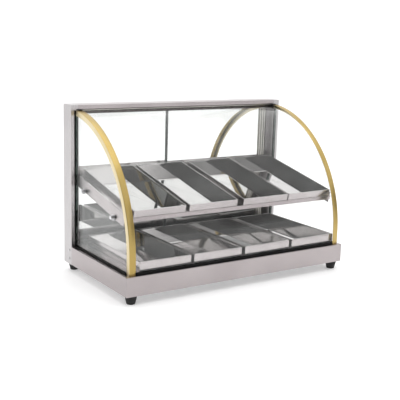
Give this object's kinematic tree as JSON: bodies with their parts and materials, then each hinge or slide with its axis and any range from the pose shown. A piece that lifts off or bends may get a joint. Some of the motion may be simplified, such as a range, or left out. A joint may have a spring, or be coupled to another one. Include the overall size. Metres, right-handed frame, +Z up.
{
  "type": "heated deli display case",
  "caption": "Countertop heated food display case: stainless base and rear frame, curved front glass with gold trims, loose trays on the deck and a tilted rack, sliding mirror doors.",
  "frame": {"origin": "on the floor under the middle of the whole, thermostat knob included", "axes": "+X to the customer's right, +Y from the customer's side to the operator's side, +Z up"},
  "size_m": [0.7038, 0.3822, 0.46],
  "materials": {
    "satin_steel": "satin stainless sheet",
    "galvanised_steel": "zinc-coated sheet",
    "polished_steel": "mirror-polished stainless steel",
    "chrome": "bright chrome plate",
    "gold_anodised": "gold anodised, semi-gloss",
    "clear_glass": "clear",
    "mirror_glass": "silvered glass",
    "black_seal": "matte black seal",
    "track_black": "black anodised",
    "satin_aluminium": "satin anodised",
    "foot_rubber": "moulded black rubber",
    "black_plastic": "fine moulded texture",
    "heater_sheath": "heat-darkened sheath",
    "insulation": "pressed mineral board",
    "copper": "drawn copper",
    "amber_lens": "translucent amber",
    "white_plastic": "plain moulded",
    "wire_insulation": "silicone insulation"
  },
  "bodies": {
    "case": {"base_shell": "satin_steel", "deck_plate": "satin_steel", "base_bottom_plate": "galvanised_steel", "rear_panel": "satin_steel", "post_left": "satin_steel", "post_right": "satin_steel", "top_beam": "satin_steel", "door_track_lower": "track_black", "door_track_upper": "track_black", "front_glass": "clear_glass", "side_glass_left": "clear_glass", "side_glass_right": "clear_glass", "trim_left": "gold_anodised", "trim_right": "gold_anodised", "front_seal": "black_seal", "side_seal_left": "black_seal", "side_seal_right": "black_seal", "rack_rail_front": "satin_steel", "rack_rail_rear": "satin_steel", "rack_side_bar_left": "satin_steel", "rack_side_bar_right": "satin_steel", "rack_bolt_left_front": "chrome", "rack_bolt_left_rear": "chrome", "rack_bolt_right_front": "chrome", "rack_bolt_right_rear": "chrome", "foot_front_left": "foot_rubber", "foot_front_right": "foot_rubber", "foot_rear_left": "foot_rubber", "foot_rear_right": "foot_rubber", "post_screw_left_lower": "chrome", "post_screw_left_upper": "chrome", "post_screw_right_lower": "chrome", "post_screw_right_upper": "chrome", "insulation_board": "insulation", "heater_element": "heater_sheath", "heater_bracket_left": "galvanised_steel", "heater_bracket_right": "galvanised_steel", "thermostat_body": "black_plastic", "thermostat_bulb": "copper", "switch_housing": "black_plastic", "pilot_lamp_body": "chrome", "pilot_lamp_lens": "amber_lens", "cable_gland": "black_plastic", "terminal_block": "white_plastic", "wiring": "wire_insulation"},
    "door_left": {"door_left": "mirror_glass", "door_pull_left": "satin_aluminium"},
    "door_right": {"door_right": "mirror_glass", "door_pull_right": "satin_aluminium"},
    "thermostat_knob": {"thermostat_knob": "black_plastic", "thermostat_shaft": "chrome"},
    "switch_rocker": {"switch_rocker": "black_plastic"},
    "tray_upper_1": {"tray_upper_1": "polished_steel"},
    "tray_upper_2": {"tray_upper_2": "polished_steel"},
    "tray_upper_3": {"tray_upper_3": "polished_steel"},
    "tray_upper_4": {"tray_upper_4": "polished_steel"},
    "tray_lower_1": {"tray_lower_1": "polished_steel"},
    "tray_lower_2": {"tray_lower_2": "polished_steel"},
    "tray_lower_3": {"tray_lower_3": "polished_steel"},
    "tray_lower_4": {"tray_lower_4": "polished_steel"}
  },
  "joints": [
    {"name": "door_left_slide", "type": "slide", "parent": "case", "child": "door_left", "axis": [1, 0, 0], "range_m": [0, 0.337]},
    {"name": "door_right_slide", "type": "slide", "parent": "case", "child": "door_right", "axis": [1, 0, 0], "range_m": [-0.308, 0.029]},
    {"name": "thermostat_turn", "type": "hinge", "parent": "case", "child": "thermostat_knob", "pos_m": [0.225, 0.17615, 0.0474], "axis": [0, -1, 0], "range_deg": [0, 270]},
    {"name": "switch_rock", "type": "hinge", "parent": "case", "child": "switch_rocker", "pos_m": [0.105, 0.17135, 0.0474], "axis": [1, 0, 0], "range_deg": [0, 16]},
    {"name": "tray_upper_1_lift", "type": "slide", "parent": "case", "child": "tray_upper_1", "axis": [0, 0.2419, 0.9703], "range_m": [0, 0.012]},
    {"name": "tray_upper_2_lift", "type": "slide", "parent": "case", "child": "tray_upper_2", "axis": [0, 0.2419, 0.9703], "range_m": [0, 0.012]},
    {"name": "tray_upper_3_lift", "type": "slide", "parent": "case", "child": "tray_upper_3", "axis": [0, 0.2419, 0.9703], "range_m": [0, 0.012]},
    {"name": "tray_upper_4_lift", "type": "slide", "parent": "case", "child": "tray_upper_4", "axis": [0, 0.2419, 0.9703], "range_m": [0, 0.012]},
    {"name": "tray_lower_1_lift", "type": "slide", "parent": "case", "child": "tray_lower_1", "axis": [0, 0, 1], "range_m": [0, 0.03]},
    {"name": "tray_lower_2_lift", "type": "slide", "parent": "case", "child": "tray_lower_2", "axis": [0, 0, 1], "range_m": [0, 0.03]},
    {"name": "tray_lower_3_lift", "type": "slide", "parent": "case", "child": "tray_lower_3", "axis": [0, 0, 1], "range_m": [0, 0.03]},
    {"name": "tray_lower_4_lift", "type": "slide", "parent": "case", "child": "tray_lower_4", "axis": [0, 0, 1], "range_m": [0, 0.03]}
  ]
}
